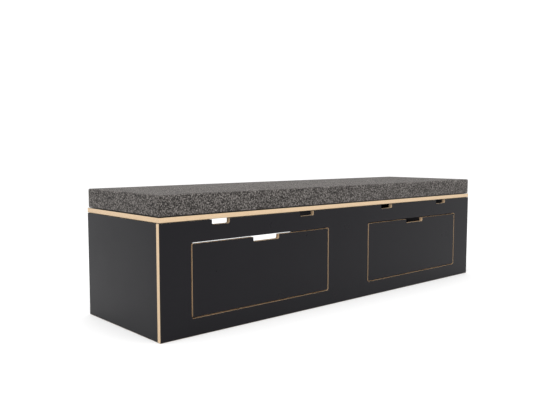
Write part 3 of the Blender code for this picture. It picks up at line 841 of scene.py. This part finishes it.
SOFT_ANGLE = 80
YARN = 0.0030
YARN_PULL = 0.0045
STROKE = 0.0065


def ticks(low, high, radius, inner):
    """Grid lines along one side of a soft box: its inner lines, and beyond them at each end the lines
    radius * tan(a), which the rounding spreads at equal angles a."""
    turns = radius * EDGE_TURNS
    return np.concatenate([low + radius - turns, inner, high - radius + turns[::-1]])


def soft_box(name, lines, radius, look):
    """A box with rounded edges on a lattice of grid lines. Each point p of the six faces is moved to
    q + radius * (p - q) / |p - q|, where q is p held inside the box that is smaller by the radius. Faces
    meet at shared lattice points. The UV map holds each face's own two directions, in metres, shifted so
    that no two faces start the pattern alike. Returns the piece, and p - q as unit vectors."""
    sizes = [len(line) for line in lines]
    ids, uvs = [], []
    for axis in range(3):
        b, c = (axis + 1) % 3, (axis + 2) % 3
        for end in (0, sizes[axis] - 1):
            i, j = np.indices((sizes[b] - 1, sizes[c] - 1))
            around = [(i, j), (i + 1, j), (i + 1, j + 1), (i, j + 1)]
            if end == 0:
                around = around[::-1]
            index = np.zeros((*i.shape, 4, 3), int)
            index[..., axis] = end
            for corner, (u, v) in enumerate(around):
                index[..., corner, b] = u
                index[..., corner, c] = v
            flat = index.reshape(-1, 4, 3)
            ids.append((flat[..., 0] * sizes[1] + flat[..., 1]) * sizes[2] + flat[..., 2])
            pair = [lines[k][flat[..., k]] for k in range(3) if k != axis]
            uvs.append(np.stack(pair, 2) + np.multiply(FACE_SHIFT, (axis, end > 0)))
    found, faces = np.unique(np.concatenate(ids), return_inverse=True)
    where = np.stack([found // (sizes[1] * sizes[2]), found // sizes[2] % sizes[1], found % sizes[2]], 1)
    p = np.stack([lines[k][where[:, k]] for k in range(3)], 1)
    low = np.array([line[0] for line in lines]) + radius
    high = np.array([line[-1] for line in lines]) - radius
    q = np.clip(p, low, high)
    out = p - q
    out /= np.linalg.norm(out, axis=1, keepdims=True)
    faces = faces.reshape(-1, 4).tolist()
    uvs = np.concatenate(uvs)
    return mesh_piece(name, q + radius * out, faces, [look], uvs=uvs, sharp=SOFT_ANGLE), out


def coordinates(mesh):
    co = np.empty(len(mesh.vertices) * 3, np.float32)
    mesh.vertices.foreach_get("co", co)
    return co.reshape(-1, 3).astype(float)


def move_to(piece, co):
    piece.data.vertices.foreach_set("co", co.astype(np.float32).ravel())
    piece.data.update()


def inflate(piece, outward, cap):
    """Runs a short cloth simulation with air pressure inside, and moves each point as the cloth went,
    scaled so that the point that went furthest moves by the cap: p + d * cap / max |d|. Of a move against
    the outward direction only a part is kept, because the foam inside holds the cover out."""
    start = coordinates(piece.data)
    cloth = piece.modifiers.new("cloth", "CLOTH")
    for key, value in CLOTH.items():
        setattr(cloth.settings, key, value)
    cloth.settings.effector_weights.gravity = 0.0
    cloth.collision_settings.use_collision = False
    cloth.point_cache.frame_start = 1
    cloth.point_cache.frame_end = CLOTH_STEPS
    scene = bpy.context.scene
    for step in range(1, CLOTH_STEPS + 1):
        scene.frame_set(step)
    shown = piece.evaluated_get(bpy.context.evaluated_depsgraph_get())
    moved = coordinates(shown.data) - start
    piece.modifiers.clear()
    scene.frame_set(1)
    inward = np.minimum((moved * outward).sum(1, keepdims=True), 0)
    moved -= (1 - PULL_IN) * inward * outward
    return start + moved * cap / np.linalg.norm(moved, axis=1).max()


def choose(tree, factor, a, b):
    """Two values mixed by a factor."""
    return add(tree, "ShaderNodeMix", {0: factor, 2: a, 3: b}, data_type="FLOAT").outputs[0]


def make_tweed():
    """Melange tweed in plain weave. Warp and weft yarns cross on one pitch, pulled a little out of line,
    and each yarn changes from charcoal to light grey along its length, so the cloth shows short strokes
    both ways. Each crossing is a small round bump with fibres along its yarn, and its colour is painted
    darker towards the hollows between the bumps, as painted shade. Slubs, thicker and lighter or darker
    lengths that run through several yarns, mottle it, and a fuzz of stray hairs covers all."""
    inputs = {"Roughness": 0.95, "IOR": 1.3, "Sheen Weight": 0.08, "Sheen Roughness": 0.5}
    inputs["Sheen Tint"] = (0.55, 0.52, 0.5, 1)
    look, tree, shader, _, cut = finish("tweed_fabric", inputs)
    pull = add(tree, "ShaderNodeTexNoise", {"Vector": cut, "Scale": 170.0, "Detail": 3.0}).outputs["Color"]
    inputs = {0: pull, 1: (YARN_PULL, YARN_PULL, 0), 2: cut}
    drawn = add(tree, "ShaderNodeVectorMath", inputs, operation="MULTIPLY_ADD").outputs[0]
    part = add(tree, "ShaderNodeSeparateXYZ", {0: drawn})
    yarns = []
    for along, over in ((0, 1), (1, 0)):
        count = maths(tree, "DIVIDE", part.outputs[over], YARN)
        number = maths(tree, "FLOOR", count)
        stroke = maths(tree, "DIVIDE", part.outputs[along], STROKE)
        apart = maths(tree, "MULTIPLY", number, 7.77)
        key = add(tree, "ShaderNodeCombineXYZ", {0: stroke, 1: apart, 2: 3.3 * over}).outputs[0]
        bow = maths(tree, "SINE", maths(tree, "MULTIPLY", maths(tree, "FRACT", count), math.pi))
        tone = noise(tree, key, 1.0, 2.0, 0.6)
        fibre = noise(tree, drawn, 2200.0, 2.0, 0.6, drawn_out(along, 0.15))
        yarns.append((number, tone, bow, fibre))
    (row, row_tone, row_bow, row_fibre), (column, column_tone, column_bow, column_fibre) = yarns
    turn = maths(tree, "MODULO", maths(tree, "ABSOLUTE", maths(tree, "ADD", row, column)), 2.0)
    tone = choose(tree, turn, row_tone, column_tone)
    fibre = choose(tree, turn, row_fibre, column_fibre)
    height = maths(tree, "SQRT", maths(tree, "MULTIPLY", row_bow, column_bow))
    slub = noise(tree, cut, 200.0, 3.0, 0.65)
    drift = noise(tree, cut, 20.0, 3.0, 0.6)
    tone = maths(tree, "MULTIPLY_ADD", tone, 1.3, -0.15)
    for pattern, weight in ((slub, 0.6), (drift, 0.2), (fibre, 0.34)):
        tone = maths(tree, "ADD", tone, maths(tree, "MULTIPLY_ADD", pattern, weight, -weight / 2))
    fuzz = noise(tree, cut, 2400.0, 2.0)
    ramp = add(tree, "ShaderNodeValToRGB", {0: tone})
    stops = (
        (0.34, (0.0062, 0.0054, 0.0050, 1)),
        (0.45, (0.030, 0.0265, 0.0240, 1)),
        (0.54, (0.077, 0.0690, 0.0643, 1)),
        (0.67, (0.228, 0.209, 0.197, 1)),
    )
    while len(ramp.color_ramp.elements) < len(stops):
        ramp.color_ramp.elements.new(0.5)
    for element, (at, colour) in zip(ramp.color_ramp.elements, stops):
        element.position = at
        element.color = colour
    hairs = spread(tree, fuzz, 0.45, 0.75, 0.0, 0.25)
    colour = blend(tree, hairs, ramp.outputs[0], (0.17, 0.16, 0.151, 1))
    # Painted shade: the colour is multiplied down to 0.35 towards the low points of the yarn bumps, the
    # hollows between the crossings.
    painted_hollow_shade = spread(tree, height, 0.0, 0.7, 0.35, 1.0)
    grey = add(tree, "ShaderNodeCombineColor", {0: painted_hollow_shade, 1: painted_hollow_shade, 2: painted_hollow_shade}).outputs[0]
    colour = blend(tree, 1.0, colour, grey, "MULTIPLY")
    coat(tree, shader, colour, maths(tree, "MULTIPLY_ADD", fibre, 0.5, height), 0.0005, 0.9)
    return look


def make_foam():
    """Cream open-cell foam."""
    look, tree, shader, where, _ = finish("seat_foam", {"Roughness": 0.95, "IOR": 1.2})
    cells = add(tree, "ShaderNodeTexVoronoi", {"Vector": where, "Scale": 900.0}).outputs[0]
    colour = blend(tree, cells, (0.62, 0.56, 0.40, 1), (0.78, 0.74, 0.60, 1))
    coat(tree, shader, colour, cells, 0.0004)
    return look


seat_low, seat_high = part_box("cushion_cover")
zip_low, zip_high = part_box("zip_teeth")
zip_middle = (zip_low.z + zip_high.z) / 2
r = SEAT_RADIUS
plan = []
for axis in (0, 1):
    low = seat_low[axis] - PROUD + r
    high = seat_high[axis] + (PROUD if axis == 0 else -SHRINK) - r
    plan.append(ticks(low - r, high + r, r, np.linspace(low, high, round((high - low) / SEAT_CELL) + 1)))
low, high = seat_low.z + SHRINK, seat_high.z + CROWN
near, far = ZIP_BAND
band = [zip_middle + reach for reach in (-far, -near, near, far)]
below = np.linspace(low + r, band[0], BAND_LINES)[:-1]
above = np.linspace(band[3], high - r, BAND_LINES)[1:]
upright = ticks(low, high, r, np.concatenate([below, band, above]))
cover, outward = soft_box("cushion_cover_tweed", [*plan, upright], r, make_tweed())

at_rest = coordinates(cover.data)
swollen = inflate(cover, outward, SWELL)

# The underside stays flat and droops to the lid at its rim, the back stays flat where the slider runs, the
# seams pull in, and the back is pressed in along the zip.
x, y, z = swollen.T
rim = np.minimum.reduce([x - seat_low.x, seat_high.x - x, y - seat_low.y, seat_high.y - y])
under = np.clip((seat_low.z + UNDERSIDE - at_rest[:, 2]) / UNDERSIDE_FADE, 0, 1)
droop = DROOP * (1 - np.clip(rim / DROOP_REACH, 0, 1)) ** 2
z = np.where(under > 0, np.maximum(z, seat_low.z) * (1 - under) + seat_low.z * under - droop * under, z)
y = np.minimum(y, seat_high.y)
pulled = np.sort(np.abs(outward), axis=1)
seam = np.exp(-(((pulled[:, 2] - pulled[:, 1]) / SEAM_SPREAD) ** 2))
pressed = (x > zip_low.x - PRESS_REACH) & (x < zip_high.x + PRESS_REACH)
pressed &= at_rest[:, 1] > seat_high.y - PRESS_REACH
pressed &= np.abs(at_rest[:, 2] - zip_middle) < near + PRESS_GAP
y = np.where(pressed, zip_low.y - PRESS_DEPTH, y)
shaped = np.stack([x, y, z], 1) - SEAM_DEPTH * seam[:, None] * outward
move_to(cover, shaped)
fine = cover.modifiers.new("fine", "SUBSURF")
fine.levels = fine.render_levels = 1
stand_for(cover, "cushion_cover", "lid")

foam, _ = soft_box("cushion_foam_slab", [*plan, upright], r, make_foam())
move_to(foam, shaped - FOAM_CLEARANCE * outward)
stand_for(foam, "cushion_foam", "lid")


# --- Zip ---------------------------------------------------------
# A zip in the back of the cover lets the foam out. Its two woven tapes show as a narrow band, with a
# row of moulded teeth along the middle. The slider has a body, a bridge and a flat puller with a hole.

ZIP_TAPE = 0.00055
ZIP_CORNER = 0.001
ZIP_ARRIS = 0.0001
HERRINGBONE = 0.0009
RIBS = 7000.0
TOOTH_PITCH = 0.0024
TOOTH = (0.0013, 0.0011, 0.0004)
TOOTH_ROOT = 0.0002
TOOTH_STAGGER = 0.0005


def make_zip_cloth():
    """Charcoal zip tape in a fine herringbone, its rib crests painted lighter and its grooves darker as
    painted light and shade, with moulded teeth of the same colour.
    """
    look, tree, shader, where, _ = finish("zip_cloth", {"Roughness": 0.7, "IOR": 1.4})
    part = add(tree, "ShaderNodeSeparateXYZ", {0: where})
    up = maths(tree, "PINGPONG", part.outputs[2], HERRINGBONE)
    rib = maths(tree, "SINE", maths(tree, "MULTIPLY", maths(tree, "ADD", part.outputs[0], up), RIBS))
    lint = noise(tree, where, 900.0, 3.0)
    # Painted light and shade: the colour follows the rib height, lighter on the crests and darker in the
    # grooves.
    colour = blend(tree, spread(tree, rib, -1, 1), (0.030, 0.029, 0.029, 1), (0.052, 0.050, 0.049, 1))
    colour = blend(tree, spread(tree, lint, 0.62, 0.8, 0.0, 0.3), colour, (0.16, 0.15, 0.15, 1))
    coat(tree, shader, colour, rib, 0.00006)
    return look


def make_teeth(low, high, middle, look):
    """A row of small blocks: tooth k stands at low.x + k * pitch, above the middle when k is even and
    below it when k is odd."""
    count = int((high.x - low.x) / TOOTH_PITCH) - 1
    k = np.arange(count)
    along = low.x + TOOTH_PITCH * (k + 1)
    out = np.full(count, low.y + ZIP_TAPE + TOOTH[2] / 2)
    up = middle + TOOTH_STAGGER * np.where(k % 2 == 0, 1, -1)
    centre = np.stack([along, out, up], 1)
    half = np.array([TOOTH[0], TOOTH[2] + TOOTH_ROOT, 2 * TOOTH[1]]) / 2
    signs = np.array([(i, j, m) for i in (-1, 1) for j in (-1, 1) for m in (-1, 1)])
    points = (centre[:, None] + signs[None] * half).reshape(-1, 3)
    faces = (np.array(BOX_FACES)[None] + 8 * k[:, None, None]).reshape(-1, 4).tolist()
    return mesh_piece("teeth", points, faces, [look], smooth=False)


zip_cloth = make_zip_cloth()
loop = outline(rectangle(zip_low, zip_high, (0, 2)), ZIP_CORNER)
band = board("zip_band", [loop], 1, zip_low.y, zip_low.y + ZIP_TAPE, (zip_cloth,), ZIP_ARRIS)
teeth = make_teeth(zip_low, zip_high, zip_middle, zip_cloth)
zipper = gather("zip_tape_and_teeth", [band, teeth], "lid")
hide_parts("zip_teeth")

SLIDER_HEIGHT = 0.0070
SLIDER_BODY = 0.0011
SLIDER_CORNER = 0.0025
SLIDER_ARRIS = 0.0002
BRIDGE_WIDTH = 0.0020
BRIDGE_ENDS = (-0.0028, 0.0032)
BRIDGE_SIDES = (0.0008, -0.0001)
BRIDGE_CORNER = 0.0008
PULLER = (0.0050, 0.0008)
PULLER_TOP = -0.0003
PULLER_CORNER = 0.0022
PULLER_HOLE = 0.0012
HOLE_HEIGHT = 2.2 * PULLER_HOLE

low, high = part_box("zip_slider")
middle_x = (low.x + high.x) / 2
slider_steel = make_zinc("zip_slider_steel", 2, 0.27)


def plate(width, ends, radius, sides, holes=()):
    """An upright plate centred on the slider, between two heights from the zip's middle and two depths."""
    near = (middle_x - width / 2, zip_middle + ends[0])
    far = (middle_x + width / 2, zip_middle + ends[1])
    loop = outline(rectangle(near, far, (0, 1)), radius)
    return board("plate", [loop, *holes], 1, *sides, (slider_steel,), SLIDER_ARRIS)


half = SLIDER_HEIGHT / 2
body = plate(high.x - low.x, (-half, half), SLIDER_CORNER, (low.y, low.y + SLIDER_BODY))
sides = (low.y + BRIDGE_SIDES[0], high.y + BRIDGE_SIDES[1])
bridge = plate(BRIDGE_WIDTH, BRIDGE_ENDS, BRIDGE_CORNER, sides)
hole = disc((middle_x, low.z + HOLE_HEIGHT), PULLER_HOLE, HOLE_ROUND * PULLER_HOLE)
ends = (low.z - zip_middle, PULLER_TOP)
puller = plate(PULLER[0], ends, PULLER_CORNER, (high.y - PULLER[1], high.y), [hole])
slider = gather("zip_slider_and_puller", [body, bridge, puller], "zip_slider")
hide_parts("zip_slider")


# --- Room --------------------------------------------------------
# A white studio: an even white surround, one large soft light overhead, and a pale floor that glows a
# little, as a lit acrylic table does.

FLOOR = 30.0
FLOOR_GLOW = 0.19
SURROUND = 1.35
LIGHT_PLACE = (-0.9, -0.9, 3.2)
LIGHT_AIM = (0, 0, 0.3)
LIGHT_SIZE = 3.0
LIGHT_POWER = 60
CAMERA_PLACE = (-1.679, -1.6792, 0.526)
CAMERA_YAW = 41.43
CAMERA_PITCH = 4.85
LENS = 42.33
SENSOR = 36.0


def make_floor_paint():
    """A matt pale floor with the faintest mottle."""
    inputs = {"Roughness": 0.9, "IOR": 1.2, "Emission Color": (1, 1, 1, 1), "Emission Strength": FLOOR_GLOW}
    look, tree, shader, where, _ = finish("studio_floor", inputs)
    cloud = noise(tree, where, 1.5, 3.0)
    colour = blend(tree, cloud, (0.64, 0.64, 0.64, 1), (0.66, 0.66, 0.66, 1))
    tree.links.new(colour, shader.inputs["Base Color"])
    return look


corners = [(*corner, 0) for corner in rectangle((-FLOOR, -FLOOR), (FLOOR, FLOOR), (0, 1))]
mesh = bpy.data.meshes.new("studio_floor")
mesh.from_pydata(corners, [], [(0, 1, 2, 3)])
mesh.materials.append(make_floor_paint())
in_scene("studio_floor", mesh)

world = bpy.data.worlds.new("studio")
world.use_nodes = True
background = world.node_tree.nodes["Background"]
background.inputs["Color"].default_value = (1, 1, 1, 1)
background.inputs["Strength"].default_value = SURROUND
bpy.context.scene.world = world
bpy.context.scene.view_settings.view_transform = "Standard"

light = bpy.data.lights.new("overhead_light", "AREA")
light.size = LIGHT_SIZE
light.energy = LIGHT_POWER
lamp = in_scene("overhead_light", light)
lamp.location = LIGHT_PLACE
lamp.rotation_euler = (Vector(LIGHT_AIM) - Vector(LIGHT_PLACE)).to_track_quat("-Z", "Y").to_euler()

camera_data = bpy.data.cameras.new("camera")
camera_data.lens = LENS
camera_data.sensor_width = SENSOR
camera = in_scene("camera", camera_data)
camera.location = CAMERA_PLACE
camera.rotation_euler = (math.radians(90 - CAMERA_PITCH), 0, -math.radians(CAMERA_YAW))
bpy.context.scene.camera = camera
